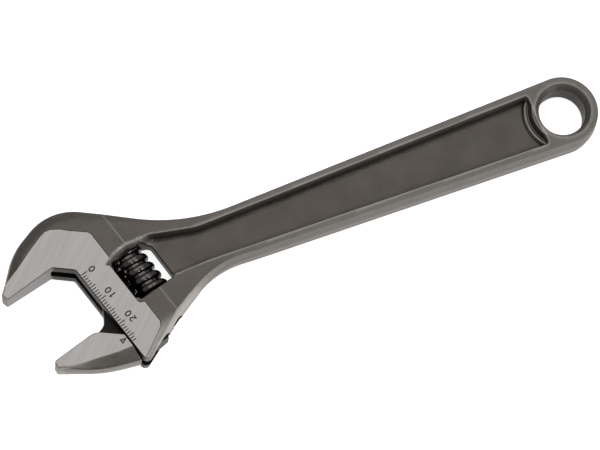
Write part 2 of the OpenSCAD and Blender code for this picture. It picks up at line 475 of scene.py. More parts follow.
def steel(name, metallic, **fixed):
    """Empty material: its node tree and its shader, with the values that hold all over."""
    m = bpy.data.materials.new(name)
    m.use_nodes = True
    shader = m.node_tree.nodes["Principled BSDF"]
    shader.inputs["Metallic"].default_value = metallic
    for key, value in fixed.items():
        shader.inputs[key.replace("_", " ")].default_value = value
    return m, m.node_tree, shader


def blend_colour(tree, factor, a, b):
    return add(tree, "Mix", {0: factor, 6: a, 7: b}, data_type="RGBA").outputs[2]


def forged_phosphate(name, dark, light, worn_and_highlight, bump):
    """Drop-forged steel, shot-blasted and manganese phosphated: a matt grey-brown skin with cloudy
    patches 9 mm wide, a blasted grain of 0.45 mm (drawn coarser than the real 0.1 mm so that it
    shows), and a paler colour laid on by a per-point share. That colour is partly metal that hands
    and the bench have rubbed bright at the edges, and partly painted highlight and painted light."""
    m, t, shader = steel(name, 1.0)
    at = add(t, "TexCoord", {}).outputs["Object"]
    clouds = add(t, "TexNoise", {"Vector": at, "Scale": per(9), "Detail": 3.0, "Roughness": 0.6})
    grain = add(t, "TexNoise", {"Vector": at, "Scale": per(0.45), "Detail": 4.0, "Roughness": 0.6})
    pits = add(t, "TexNoise", {"Vector": at, "Scale": per(1.6), "Detail": 2.0, "Roughness": 0.5})
    patch = add(t, "MapRange", {"Value": clouds.outputs["Fac"], "From Min": 0.35, "From Max": 0.65,
                                "To Min": 0.15, "To Max": 0.6})
    speck = add(t, "MapRange", {"Value": grain.outputs["Fac"], "From Min": 0.3, "From Max": 0.7,
                                "To Min": 0.0, "To Max": 0.9})
    both = add(t, "Math", {0: patch.outputs[0], 1: speck.outputs[0]}, operation="ADD")
    share = add(t, "Math", {0: both.outputs[0], 1: 0.62}, operation="MULTIPLY", use_clamp=True)
    base = blend_colour(t, share.outputs[0], srgb(dark), srgb(light))
    # The per-point pale share from the mesh: partly rubbed metal and partly painted highlight.
    rub_and_highlight = add(t, "Attribute", {}, attribute_name="rub_and_highlight").outputs["Fac"]
    rub = add(t, "MapRange", {"Value": grain.outputs["Fac"], "From Min": 0.25, "From Max": 0.75,
                              "To Min": 0.7, "To Max": 1.2})
    rubbed = add(t, "Math", {0: rub_and_highlight, 1: rub.outputs[0]}, operation="MULTIPLY", use_clamp=True)
    t.links.new(blend_colour(t, rubbed.outputs[0], base, srgb(worn_and_highlight)), shader.inputs["Base Color"])
    rough = add(t, "MapRange", {"Value": grain.outputs["Fac"], "From Min": 0.3, "From Max": 0.7,
                                "To Min": 0.44, "To Max": 0.6})
    t.links.new(rough.outputs[0], shader.inputs["Roughness"])
    coarse = add(t, "Bump", {"Height": pits.outputs["Fac"], "Strength": bump, "Distance": 0.00012})
    fine = add(t, "Bump", {"Height": grain.outputs["Fac"], "Strength": bump, "Distance": 0.00006,
                           "Normal": coarse.outputs[0]})
    t.links.new(fine.outputs[0], shader.inputs["Normal"])
    return m


def ground_steel(name, base, streak, angle):
    """Belt-ground steel, then lightly phosphated: pale satin grey with fine parallel grinding lines
    0.35 mm apart and some 20 mm long, and a few broader dull streaks. The lines are drawn coarser
    than the real 0.05 mm so that they show."""
    m, t, shader = steel(name, 1.0)
    at = add(t, "TexCoord", {}).outputs["Object"]
    turned = add(t, "Mapping", {"Vector": at, "Rotation": (0, 0, angle)})
    drawn = add(t, "Mapping", {"Vector": turned.outputs[0], "Scale": (per(20), per(0.35), per(0.35))})
    broad = add(t, "Mapping", {"Vector": turned.outputs[0], "Scale": (per(30), per(1.4), per(1.4))})
    lines = add(t, "TexNoise", {"Vector": drawn.outputs[0], "Scale": 1.0, "Detail": 3.0})
    bands = add(t, "TexNoise", {"Vector": broad.outputs[0], "Scale": 1.0, "Detail": 2.0})
    both = add(t, "Math", {0: lines.outputs["Fac"], 1: bands.outputs["Fac"]}, operation="ADD")
    share = add(t, "MapRange", {"Value": both.outputs[0], "From Min": 0.75, "From Max": 1.25})
    t.links.new(blend_colour(t, share.outputs[0], srgb(base), srgb(streak)), shader.inputs["Base Color"])
    rough = add(t, "MapRange", {"Value": lines.outputs["Fac"], "From Min": 0.3, "From Max": 0.7,
                                "To Min": 0.3, "To Max": 0.44})
    t.links.new(rough.outputs[0], shader.inputs["Roughness"])
    bump = add(t, "Bump", {"Height": lines.outputs["Fac"], "Strength": 0.35, "Distance": 0.00002})
    t.links.new(bump.outputs[0], shader.inputs["Normal"])
    return m


def oiled_black(name, base, light, metallic, low, high):
    """Black-oxide steel wiped with oil: near black, with clear highlights and faint smears 3 mm wide."""
    m, t, shader = steel(name, metallic, Coat_Weight=0.25, Coat_Roughness=0.12)
    at = add(t, "TexCoord", {}).outputs["Object"]
    smear = add(t, "TexNoise", {"Vector": at, "Scale": per(3), "Detail": 3.0})
    grain = add(t, "TexNoise", {"Vector": at, "Scale": per(0.3), "Detail": 2.0})
    t.links.new(blend_colour(t, smear.outputs["Fac"], srgb(base), srgb(light)), shader.inputs["Base Color"])
    rough = add(t, "MapRange", {"Value": smear.outputs["Fac"], "From Min": 0.3, "From Max": 0.7,
                                "To Min": low, "To Max": high})
    t.links.new(rough.outputs[0], shader.inputs["Roughness"])
    bump = add(t, "Bump", {"Height": grain.outputs["Fac"], "Strength": 0.2, "Distance": 0.00002})
    t.links.new(bump.outputs[0], shader.inputs["Normal"])
    return m


# The third colour, #a09c97, is the pale one laid on by the per-point share: rubbed metal and painted
# highlight.
FORGED = forged_phosphate("phosphated_forging", "#47423e", "#625d58", "#a09c97", 0.8)
# Near-black steel for the walls, slots, bores, rail, neck and lip inside the head. The colour is partly the
# steel's own dark phosphate and partly painted shade for surfaces between parts and facing away from the
# lamps.
MACHINED_AND_SHADE = forged_phosphate("phosphated_wall_and_painted_shade", "#201e1c", "#2d2a28", "#75716e", 0.2)
GROUND = ground_steel("belt_ground_steel", "#8f8c8a", "#979492", math.radians(-42))
MILLED = ground_steel("milled_gripping_face", "#5b5957", "#666462", math.radians(16))
BLACK = oiled_black("black_oxide_oiled", "#464142", "#5e5958", 1.0, 0.14, 0.24)
INK = oiled_black("etched_mark_black", "#161314", "#231f20", 0.1, 0.5, 0.65)
WIRE = oiled_black("drawn_spring_wire", "#8d8b88", "#a9a7a4", 1.0, 0.22, 0.34)
TURNED = oiled_black("turned_pin_steel", "#3a3736", "#55514f", 1.0, 0.3, 0.42)


# ---- body: handle, head and fixed jaw -----------------------------------------------------------

BODY_EDGE = rounded([
    on_jaw(-16.7, 0, 0.5), on_jaw(0.9, 0, 1), on_jaw(6.4, 5.1, 1.2), on_jaw(6.4, 43.1, 1.8),
    on_handle(-141.6, -18.4, 3), on_handle(-126.4, -half_width(-126.4), 30),
    on_handle(TAIL_R, -half_width(TAIL_R), TAIL_R - 0.05),
    on_handle(TAIL_R, half_width(TAIL_R), TAIL_R - 0.05),
    on_handle(-130.8, half_width(-130.8), 62), on_handle(-170.2, 29.3, 18),
    on_handle(-186.3, 19.4, 20), on_jaw(-17.38, -2.5, 1.5)], 0.8)

# How the edge changes round the body: where, then the edge's width, fall and lean of its wall, and
# the width and fall of the bevel band inside it.
EDGE_NOTES = [
    (on_jaw(-16.0, 0), 0.25, 0.25, 0.0, 0.3, 0.0), (on_jaw(6.4, 20), 0.25, 0.25, 0.0, 0.3, 0.0),
    (on_jaw(6.4, 41), 0.25, 0.25, 0.0, 0.3, 0.0), (on_jaw(8.0, 42.5), 0.5, 1.0, 0.2, 0.6, 0.0),
    (on_jaw(13.8, 40.6), 1.0, 3.2, 0.4, 1.2, 0.1), (on_jaw(20.3, 38.4), 2.0, 4.6, 0.5, 2.2, 0.1),
    (on_jaw(24.6, 37.0), 2.4, 5.2, 0.5, 2.6, 0.1), (on_handle(-138, -17), 2.3, 4.6, 0.5, 2.5, 0.1),
    (on_handle(-128, -12.4), 1.6, 3.0, 0.45, 2.0, 0.05), (on_handle(-110, -9.2), 1.0, 1.3, 0.4, 1.4, 0.0),
    (on_handle(0, -12.2), 0.9, 1.1, 0.4, 1.2, 0.0), (on_handle(0, 12.2), 0.9, 1.1, 0.4, 1.2, 0.0),
    (on_handle(-120, 9), 1.0, 1.3, 0.4, 1.4, 0.0), (on_handle(-143, 14.5), 1.1, 1.8, 0.4, 2.0, 0.3),
    (on_jaw(24.5, -5.3), 1.0, 1.8, 0.4, 3.0, 0.6), (on_jaw(15, -13.6), 1.0, 2.2, 0.4, 4.4, 1.2),
    (on_jaw(4, -14.8), 1.0, 2.4, 0.4, 4.2, 1.6), (on_jaw(-7, -10.9), 1.0, 2.4, 0.4, 3.9, 1.7),
    (on_jaw(-15.5, -4.6), 0.6, 1.6, 0.3, 2.4, 1.7), (on_jaw(-17.2, -2.2), 0.3, 0.4, 0.05, 1.0, 0.8)]

PAD = jaw(*np.array([
    (-16.2, 0.8), (-17.6, -0.6), (-16.3, -3.4), (-14.7, -4.2), (-7, -6.7), (-1.4, -8.8), (4.4, -10.6),
    (6.2, -10.9), (7.9, -10.5), (10.6, -8.7), (12.8, -6.4), (17.1, -2.6), (17.6, -1.6), (17.5, 8.4),
    (14.9, 9.4), (16, 10.5), (16, 25.4), (16.6, 26.2), (17.7, 26.6), (17.7, 34.5),
    (16.8, 36.1), (9.4, 40), (7.5, 41), (6.2, 41.4), (5.0, 42), (5.0, 4.6), (0.6, 0.8)]).T)

WINDOW = rounded([on_jaw(17.2, 25.2, 0.8), on_jaw(31.3, 25.5, 1.6), on_jaw(31.5, 12.4, 1.4),
                  on_jaw(29.2, 9.9, 1.5), on_jaw(17.2, 9.9, 0.6)], 0.5)
POCKET = rounded([
    on_handle(-9.2, half_width(-9.2) - 2.95, 1.0), on_handle(-128, half_width(-128) - 2.75, 25),
    on_handle(-143.4, 8.9, 4), on_jaw(24.5, 7.7, 6), on_jaw(19.5, 7.9, 3), on_jaw(15.2, 9.4, 0.8),
    on_jaw(15.2, 24.2, 0.5), on_jaw(28, 24.4, 2), on_handle(-128, 2.75 - half_width(-128), 25),
    on_handle(-8.8, 2.95 - half_width(-8.8), 1.0)], 0.6)
POCKET_FLOOR = RAIL_Z - POCKET_DEPTH
PAD_EDGE = anticlockwise(rounded([(*p, 0.3) for p in PAD], 0.5))


def circle(r, step=0.5):
    n = math.ceil(2 * math.pi * r / step)
    t = 2 * math.pi * np.arange(n) / n
    return HOLE + r * np.stack([np.cos(t), np.sin(t)], 1)


def deck(w):
    """Height of the forging's side: flat on the head, then falling as the square of the distance left
    to the handle's level."""
    share = np.clip((SLOPE_END_W - w) / (SLOPE_END_W - CREASE_W), 0, 1)
    return RAIL_Z + (DECK_Z - RAIL_Z) * share ** 2


def thinning(w):
    """The jaws' backs rise towards their tips, in proportion to the distance past w = 2."""
    return np.clip((THINNING_START_W - w) * TIP_THINNING / (THINNING_START_W - TIP_W), 0, None)


def wall_profile(t):
    """Share of the pocket's depth reached at t of its wall: half straight and half S-shaped."""
    t = np.clip(t, 0, 1)
    return 0.45 * t + 0.55 * soft(t)


def scoop_share(w, u):
    """How much a point belongs to the scoop above the worm: 1 in it, and smooth steps to 0 past it."""
    return soft((34 - w) / 5) * soft((15 - u) / 4)


def in_throat(w, u):
    """True on the head's wall between the two gripping faces."""
    return (w < 6.7) & (u > 0.3) & (u < 42.6)


def body_height(p, edge, notes, back):
    """Height of the body's side above its opposite datum: the deck, less the bevel band near the
    edge, less the pocket, plus the boss round the hole, less the hole's flare. The pad is flat."""
    w, u = in_jaw(p)
    far, where = nearest(p, edge)
    count = np.arange(len(edge) + 1)
    band, drop = (np.interp(where, count, np.append(notes[:, k], notes[0, k])) for k in (3, 4))
    taper = thinning(w) if back else np.zeros(len(p))
    drop = drop * (1 - 0.7 * np.clip(taper / TIP_THINNING, 0, 1))
    z = deck(w) - drop * np.clip(1 - far / band, 0, 1) ** 1.15
    z += CREASE * np.exp(-((w - CREASE_W) / 0.2) ** 2)
    pad = depth_in(p, PAD_EDGE) > -0.05
    z[pad] = PAD_Z
    r = np.linalg.norm(p - HOLE, axis=1)
    into = depth_in(p, POCKET)
    scoop = scoop_share(w, u)
    share = wall_profile(into / (POCKET_WALL + 1.7 * scoop))
    groove = 0.3 * np.exp(-((into - POCKET_WALL - 0.15) / 0.4) ** 2) * (1 - scoop)
    boss = 0.66 * wall_profile((r - BOSS_R) / 0.9) + 0.34 * wall_profile((r - LIP_R) / 0.8)
    ring = 0.35 * np.exp(-((r - BOSS_R - 1.1) / 0.35) ** 2)
    share = np.minimum(share, boss)
    share[pad] = 0
    z = z + (POCKET_FLOOR - z) * share - np.where(into > 0, np.maximum(groove, ring) * share, 0)
    z -= FLARE_DEPTH * np.clip((FLARE_R - r) / (FLARE_R - HOLE_R), 0, 1)
    return z - taper, into, r, far


def body_rub_and_highlight(w, u, into, r, far):
    """How pale the surface is: partly rubbing and partly painted highlight. Most on the handle's rails,
    the edges and the head's lower corner, least in the pocket. The lower corner, the scoop above the
    worm, the crease and the rings at the hole are painted highlight and painted light."""
    # The rails grow paler towards the tail. The head's lower corner bevel gets a band of painted highlight.
    rail = np.interp(w, [20, 50, 80], [0.08, 0.14, 0.26]) + 0.8 * soft((u - 34) / 4) * soft((27 - w) / 4)
    # Pocket rim: a rubbed edge with a painted highlight line. The scoop above the worm is painted light on
    # its slope.
    rim = 0.6 * np.exp(-(into / 0.35) ** 2) + 0.7 * scoop_share(w, u) * (into > 0)
    # Outer edge: a rubbed edge with a painted highlight line.
    edge = 0.45 * np.exp(-(far / 0.8) ** 2)
    # Rings at the flare and at the boss's steps: rubbed edges and painted highlight.
    flare = 0.5 * np.exp(-((r - FLARE_R) / 0.3) ** 2)
    step = 0.8 * np.exp(-((r - LIP_R) / 0.3) ** 2) + 0.5 * np.exp(-((r - BOSS_R) / 0.25) ** 2)
    flare += step * (into > 0)
    # A painted highlight line along the crease.
    crease = 0.45 * np.exp(-((w - CREASE_W) / 0.22) ** 2) * (into < 0)
    return np.where(into > 0.4, 0.04, rail) + rim + edge + flare + crease


def wall_rub_and_highlight(points, rows, outer):
    """Pale share of the rows of a wall: bright on the rounded edge and the parting line, dull between,
    partly rubbing and partly painted highlight. The outer wall's lower side is painted light from the
    head's corner to the waist, and in the throat the share is cut to a tenth as painted shade."""
    w, u = in_jaw(points[:, :2])
    count = len(rows)
    share = np.abs(np.linspace(-1, 1, count))
    # Rounded edge and parting line: rubbed metal and painted highlight lines.
    row = np.interp(share, [0, 0.1, 0.5, 1], [0.3, 0.08, 0.12, 0.45]) if outer else np.full(count, 0.05)
    # Painted light on the outer wall's lower side, from the head's corner to the waist.
    low = 0.7 * soft((u - 30) / 5) * np.interp(w, [8, 14, 34, 46], [0, 1, 1, 0]) * outer
    # Painted shade: the throat's walls keep a tenth of the pale share.
    return (np.repeat(row, len(rows[0])) + low) * np.where(in_throat(w, u), 0.1, 1)


def clipped(line, rims, margin=0.12):
    """The runs of a line that lie inside the first rim, outside the others and clear of all."""
    keep = inside(line, rims[0]) & (nearest(line, rims[0])[0] > margin)
    for r in rims[1:]:
        keep &= ~inside(line, r) & (nearest(line, r)[0] > margin)
    cuts = np.flatnonzero(np.diff(keep.astype(int))) + 1
    runs = zip(np.split(line, cuts), np.split(keep, cuts))
    return [(run, False) for run, kept in runs if kept[0] and len(run) > 1]


def shifted(loop, by):
    """A loop moved by that much to its right, without the points that come nearer than that."""
    moved = loop + normals(loop) * by
    return moved[nearest(moved, loop)[0] > abs(by) * 0.97]


def closed_line(loop):
    return np.concatenate([loop, loop[:1]])


def build_body():
    notes = np.stack([spread(BODY_EDGE, [n[k] for n in EDGE_NOTES], [n[0][:2] for n in EDGE_NOTES])
                      for k in range(1, 6)], 1)
    outward = normals(BODY_EDGE)
    rim = BODY_EDGE - outward * notes[:, :1]
    hole, window = circle(HOLE_R), anticlockwise(WINDOW)
    hole_rim, window_rim = circle(HOLE_R + HOLE_EDGE), window + normals(window) * WINDOW_EDGE
    rims = [rim, hole_rim, window_rim]
    lines = []
    for by in (-0.14, 0.0, 0.22, 0.5):
        lines += clipped(closed_line(shifted(PAD_EDGE, by) if by else PAD_EDGE), rims)
    pocket = anticlockwise(POCKET)
    for by in (0.0, -0.3, -0.65, -POCKET_WALL, -POCKET_WALL - 0.5):
        lines += clipped(closed_line(shifted(pocket, by) if by else pocket), rims)
    for r in (FLARE_R - 0.2, FLARE_R, FLARE_R + 0.2):
        lines += clipped(closed_line(circle(r)), rims)
    for r in np.array([0, 0.3, 0.6, 0.9, 1.2, 1.6, 1.9, 2.2, 2.6, 3.0]) + BOSS_R:
        arc = closed_line(circle(r))
        lines += [(run, c) for run, c in clipped(arc, rims) if len(run) > 3]
    for w in (-0.35, -0.15, 0.0, 0.15, 0.35):
        strip = dense([on_jaw(CREASE_W + w, -12)[:2], on_jaw(CREASE_W + w, 45)[:2]], 0.6)
        lines += clipped(strip, rims)
    flat, tris, numbers = sheet_of(rims, lines, [
        (lambda p: p[:, 0] < -38, 0.6), (lambda p: p[:, 0] >= -38, 0.95)])
    front, into, r, far = body_height(flat, BODY_EDGE, notes, False)
    reach_back, *_ = body_height(flat, BODY_EDGE, notes, True)
    back = HEAD_T - reach_back
    ring = numbers[0]
    walls = [edge_wall(BODY_EDGE, outward, front[ring], back[ring], *notes[:, :3].T)]
    nothing = np.zeros(len(hole))
    walls.append(edge_wall(hole, -normals(hole), front[numbers[1]], back[numbers[1]],
                           nothing + HOLE_EDGE, nothing + HOLE_EDGE, nothing, 1, 4))
    nothing = np.zeros(len(window))
    walls.append(edge_wall(window, -normals(window), front[numbers[2]], back[numbers[2]],
                           nothing + WINDOW_EDGE, nothing + WINDOW_EDGE, nothing, 3, 2))
    verts, faces, groups = slab(flat, tris, front, back, numbers, walls)
    mid = verts[faces].mean(1)
    w, u = in_jaw(mid[:, :2])
    on_pad = (groups < 2) & inside(mid[:, :2], PAD_EDGE)
    # Painted shade: a ring 0.2 mm wide outside the pad, except near the jaw's tip, takes the dark wall
    # colour as the shade where the surround steps up from the pad.
    beside = (groups < 2) & ~on_pad & (nearest(mid[:, :2], PAD_EDGE)[0] < 0.2) & (w > -12)
    grip = (groups == 2) & (np.abs(u) < 0.3) & (w < 0.9) & (w > -17)
    # The throat, the hole's wall and the window's wall take the dark wall colour, which partly stands for
    # their shade.
    throat = ((groups == 2) & in_throat(w, u)) | (groups > 2)
    kinds = np.where(on_pad, 1, np.where(throat | beside, 2, np.where(grip, 5, 0)))
    vw, vu = in_jaw(verts[:, :2])
    n = len(flat)
    side = body_rub_and_highlight(vw[:n], vu[:n], into, r, far)
    rub_and_highlight = np.concatenate([side, side] + [wall_rub_and_highlight(np.concatenate(rows), rows, rows is walls[0])
                                          for rows in walls])
    piece = mesh_object("wrench_body", verts, faces, "frame",
                        [FORGED, GROUND, MACHINED_AND_SHADE, INK, BLACK, MILLED], kinds, None, rub_and_highlight)
    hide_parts("body")
    return piece


def cylinder(r, w, u0, u1, turns=72):
    """Closed cylinder of radius r whose axis runs along u through w at mid height."""
    t = 2 * math.pi * np.arange(turns) / turns
    v, f = prism(r * np.stack([np.cos(t), np.sin(t)], 1), 0, u1 - u0)
    return laid(v, w, u0), f


def channel_cutters():
    """Shapes taken out of the head: the rail's round channel, the neck's slot, and the pin's bores."""
    slot = jaw(*np.array([(0.5, 2), (0.5, -1.3), (5, -6.6), (8.5, CHANNEL_TOP_U), (RAIL_W, CHANNEL_TOP_U),
                          (RAIL_W, CHANNEL_END_U), (0, CHANNEL_END_U)]).T)
    v, f = prism(slot, MID_Z - SLOT_HALF, MID_Z + SLOT_HALF)
    return [("rail_channel", *cylinder(RAIL_R + RAIL_PLAY, RAIL_W, CHANNEL_TOP_U, 50, 96), MACHINED_AND_SHADE),
            ("neck_slot", v, f, MACHINED_AND_SHADE),
            ("pin_bore", *cylinder(PIN_BORE_R, WORM_W, 5.8, 30), MACHINED_AND_SHADE),
            ("pin_mouth", *cylinder(PIN_MOUTH_R, WORM_W, 28.9, 42), BLACK)]


def pen(left, right, closed):
    """Cutter between a stroke's two sides, from above the pad down to 0.16 mm below it. A closed
    stroke is a ring: its two outer and two inner edges, joined round its section."""
    top, bottom = HEAD_T + 0.3, PAD_Z - MARK_DEPTH
    if not closed:
        return prism(np.concatenate([left, right[::-1]]), bottom, top)
    outer, inner = sorted((left, right), key=lambda loop: -abs(area(loop)))
    if area(outer) < 0:
        outer, inner = outer[::-1], inner[::-1]
    n = len(outer)
    edges = [(outer, bottom), (outer, top), (inner, top), (inner, bottom)]
    verts = np.concatenate([np.column_stack([loop, np.full(n, z)]) for loop, z in edges])
    return verts, grid_faces(4, n, wrap=True, wrap_rows=True).tolist()


def on_scale(points, w, u):
    """Points of a mark, x to its right and y up, laid on the scale: right is against u, up against w."""
    p = np.asarray(points, float)
    return jaw(w - p[:, 1], u - p[:, 0])


def mark(w, u, path, width, closed=False):
    left, right = stroke(path, width, closed)
    return pen(on_scale(left, w, u), on_scale(right, w, u), closed)


def scale_marks():
    """Ruled marks 1 mm apart, longer at each 5 and longest at each 10, and the numbers 0, 10 and 20.
    The strokes that touch another are in the second cutter."""
    lengths = [2.3 if k % 10 == 0 else 1.9 if k % 5 == 0 else 1.4 for k in range(28)]
    first = [mark(6.75, 7.6 + k, [(0, 0), (0, -long)], 0.34) for k, long in enumerate(lengths)]
    t = np.linspace(0, 2 * math.pi, 28, endpoint=False)
    nought = np.stack([0.62 * np.cos(t), 0.98 * np.sin(t)], 1)
    for w, u in ((10.8, 7.9), (10.7, 16.6), (11.1, 26.6)):
        first.append(mark(w, u, nought, 0.46, True))
    bow = np.linspace(math.radians(165), math.radians(-40), 14)
    arc = np.stack([0.56 * np.cos(bow), 0.48 + 0.5 * np.sin(bow)], 1)
    first.append(mark(10.9, 18.7, [(0.1, 1.2), (0.1, -1.15)], 0.46))
    neck = [(0.12, -0.28), (-0.24, -0.62), (-0.6, -0.95)]
    first.append(mark(11.3, 28.8, np.concatenate([arc, neck]), 0.46))
    second = [mark(10.9, 18.7, [(-0.45, 0.6), (0.1, 1.05)], 0.3),
              mark(11.3, 28.8, [(-0.72, -0.95), (0.74, -0.95)], 0.36)]
    return [("scale_marks", *joined(first), INK), ("scale_marks_added", *joined(second), INK)]


# ---- movable jaw --------------------------------------------------------------------------------

JAW_EDGE = rounded([
    on_jaw(-17.2, JAW_OPENING, 1), on_jaw(-2, JAW_OPENING, 4), on_jaw(0.4, JAW_OPENING + 1.1, 2),
    on_jaw(6.1, JAW_OPENING + 6.3, 0.5), on_jaw(6.1, JAW_OPENING + 16.1, 0.5),
    on_jaw(-6, JAW_OPENING + 11.2, 40), on_jaw(-17.3, JAW_OPENING + 2.6, 0.8)], 0.6)
LOWER_LINE = jaw(*np.array([(-18.4, 25.8), (-16.9, 27.2), (-12, 31.5), (-6.7, 35.1), (-1, 38.1), (3.7, 40),
                            (5.9, 40.8), (8.5, 41.7)]).T)
GROUND_LINE = jaw(*np.array([(-17.6, 27.7), (-16.5, 28.1), (-11.2, 30.5), (-4.9, 32.6), (1.4, 34.8),
                             (7, 36.2)]).T)
JAW_FACE = np.concatenate([GROUND_LINE, jaw(*np.array([(7, 24), (-18.5, 24), (-18.5, 27.4)]).T)])


def jaw_height(p, back):
    """Height of the jaw's side: flat down to the ground line, and beyond it a bevel that falls 3.9 mm
    in proportion to how far the point is from that line towards the edge."""
    w = in_jaw(p)[0]
    to_edge, to_line = nearest(p, LOWER_LINE, False)[0], nearest(p, GROUND_LINE, False)[0]
    t = np.clip(to_line / np.maximum(to_line + to_edge, 1e-6), 0, 1)
    taper = thinning(w) if back else np.zeros(len(p))
    fall = JAW_FALL * (1 - 0.7 * np.clip(taper / TIP_THINNING, 0, 1))
    return np.where(inside(p, JAW_FACE), PAD_Z, PAD_Z - fall * t ** 1.1) - taper


def build_jaw():
    edge = anticlockwise(JAW_EDGE)
    w, u = in_jaw(edge)
    lower = soft((u - 27.2 - 0.32 * (w + 17)) / 1.2) * (w < 5.9)
    inset, fall, draft = 0.22 + 0.35 * lower, 0.22 + 0.7 * lower, 0.22 * lower
    outward = normals(edge)
    rim = edge - outward * inset[:, None]
    ground = dense(GROUND_LINE, 0.5)
    side = np.array([-OPENING, OPENING]) * 0.16
    lines = []
    for by in (*side, np.zeros(2), OPENING * 0.4):
        lines += clipped(ground + by, [rim])
    flat, tris, numbers = sheet_of([rim], lines, [(lambda p: np.ones(len(p), bool), 0.6)])
    front, back = jaw_height(flat, False), HEAD_T - jaw_height(flat, True)
    ring = numbers[0]
    walls = [edge_wall(edge, outward, front[ring], back[ring], inset, fall, draft)]
    verts, faces, groups = slab(flat, tris, front, back, numbers, walls)
    mid = verts[faces].mean(1)
    fw, fu = in_jaw(mid[:, :2])
    on_face = (groups < 2) & inside(mid[:, :2], JAW_FACE)
    grip = (groups == 2) & (fu < 25.4) & (fw > -17.4)
    # The relief walls near the neck take the dark wall colour, which partly stands for their shade.
    relief = (groups == 2) & (((fw > -1.5) & (fu < 31.4)) | (fw > 5.9))
    kinds = np.where(relief, 2, np.where(on_face, 1, np.where(grip, 4, 0)))
    to_line = nearest(verts[:, :2], GROUND_LINE, False)[0]
    # Pale share: a little rubbing all over, a painted highlight line along the ground line, and points
    # within 3.2 mm of mid height, mostly the side wall, painted lighter as if lit from below.
    rub_and_highlight = 0.08 + 0.3 * np.exp(-(to_line / 0.3) ** 2) + 0.3 * (np.abs(verts[:, 2] - MID_Z) < 3.2)
    piece = mesh_object("movable_jaw_plate", verts, faces, "jaw",
                        [FORGED, GROUND, MACHINED_AND_SHADE, INK, MILLED], kinds, None, rub_and_highlight)
    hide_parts("movable_jaw")
    outer = np.array([(0.0, -1.3), (0.95, 1.05), (-0.95, 1.05)])
    inner = np.array([(0.0, -0.05), (0.3, 0.62), (-0.3, 0.62)])
    triangle = pen(on_scale(outer, 4.7, 32.7), on_scale(inner, 4.7, 32.7), True)
    carve(piece, [("pointer_mark", *triangle, INK)])
    finish_edges(piece)
    return piece


def build_neck():
    """Neck between the jaw and its rail: a flat outline made a plate, with its edges bevelled."""
    o = JAW_OPENING
    outline = jaw(*np.array([
        (0.8, o), (2.2, o - 0.3), (3.6, o - 1), (4.9, o - 2.6), (6.4, o - 5.3), (8, o - 7.6),
        (10.5, o - 9.2), (RAIL_W, o - 9.2), (RAIL_W, o + 14.5), (0.8, o + 13.5)]).T)
    verts, faces = prism(outline, MID_Z - NECK_HALF, MID_Z + NECK_HALF)
    piece = mesh_object("jaw_neck", verts, faces, "jaw", [MACHINED_AND_SHADE], sharp=30)
    return bevelled(piece, 0.25)


def build_rail():
    """Guide rail with its rack. Each point of a round bar is pushed back along w to the side of the
    gap that it lies in: the gap is 0.95 mm half wide at its bottom and 1.4 mm at the bar's crest, and
    leans across the bar with the worm's lead."""
    length, top, rings, sides = 24.5, JAW_OPENING - 9.5, 246, 96
    bottom_half, wall_width = 0.95, 0.45
    v = np.linspace(0, length, rings)
    angle = np.linspace(0, 2 * math.pi, sides, endpoint=False)
    v, angle = np.meshgrid(v, angle, indexing="ij")
    chamfer = np.clip(np.minimum(v, length - v) - 0.35, -0.35, 0)
    r = RAIL_R + chamfer
    x, y = r * np.cos(angle), r * np.sin(angle)
    lean = y * PITCH / (2 * math.pi * (WORM_R - THREAD_DEPTH / 2))
    off = (v + top - lean - FIRST_GAP_U) / PITCH
    off = np.abs(off - np.round(off)) * PITCH
    limit = RACK_W - RAIL_W + np.clip((off - bottom_half) / wall_width, 0, None) * THREAD_DEPTH
    x = np.minimum(x, limit)
    grid = np.stack([x, y, v], -1).reshape(-1, 3)
    return mesh_object("guide_rail", laid(grid, RAIL_W, top), tube_faces(rings, sides), "jaw",
                       [MACHINED_AND_SHADE], sharp=32)


# ---- worm, pin and spring -----------------------------------------------------------------------

def build_lip():
    """Lip of the window's back edge behind the worm's upper end, a flat outline made a plate."""
    outline = jaw(*np.array([(15, 9.2), (20.2, 9.2), (20.2, 15.4), (18.5, 17), (15, 17)]).T)
    verts, faces = prism(outline, BACK_LIP_BOTTOM_Z, BACK_LIP_TOP_Z)
    piece = mesh_object("window_back_lip", verts, faces, "frame", [MACHINED_AND_SHADE], sharp=30)
    return bevelled(piece, 0.3)


